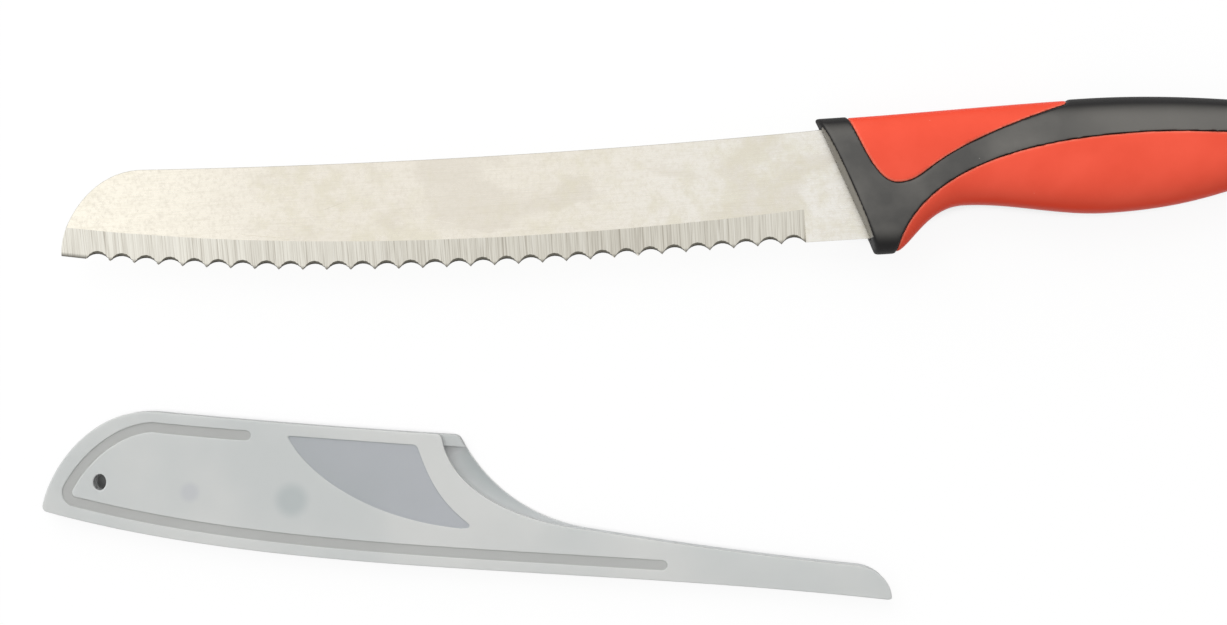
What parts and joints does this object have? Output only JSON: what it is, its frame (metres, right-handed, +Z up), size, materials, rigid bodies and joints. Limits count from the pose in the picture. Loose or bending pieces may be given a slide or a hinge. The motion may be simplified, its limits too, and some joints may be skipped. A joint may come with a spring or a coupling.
{
  "type": "bread knife",
  "caption": "Serrated bread knife with a two-colour moulded handle, lying beside its slide-on frosted plastic blade guard.",
  "frame": {"origin": "middle of the footprint of the knife and its guard together, on the table", "axes": "+X along the knife from the tip to the butt, +Y from the edge to the spine, +Z up out of the shown side"},
  "size_m": [0.3304, 0.1227, 0.019],
  "materials": {
    "stainless_steel": "satin stamped stainless steel with a ground bevel",
    "red_plastic": "satin moulded polypropylene",
    "black_rubber": "matt soft-touch overmoulding",
    "frosted_plastic": "frosted translucent polypropylene with glossier recesses"
  },
  "bodies": {
    "knife": {"blade": "stainless_steel", "handle_core": "red_plastic", "soft_grip": "black_rubber"},
    "guard": {"guard_back": "frosted_plastic", "guard_rim": "frosted_plastic", "guard_front": "frosted_plastic"}
  },
  "joints": [
    {"name": "guard_slide", "type": "slide", "parent": "knife", "child": "guard", "axis": [-0.9939, 0.1106, 0], "range_m": [0, 0.205]}
  ]
}
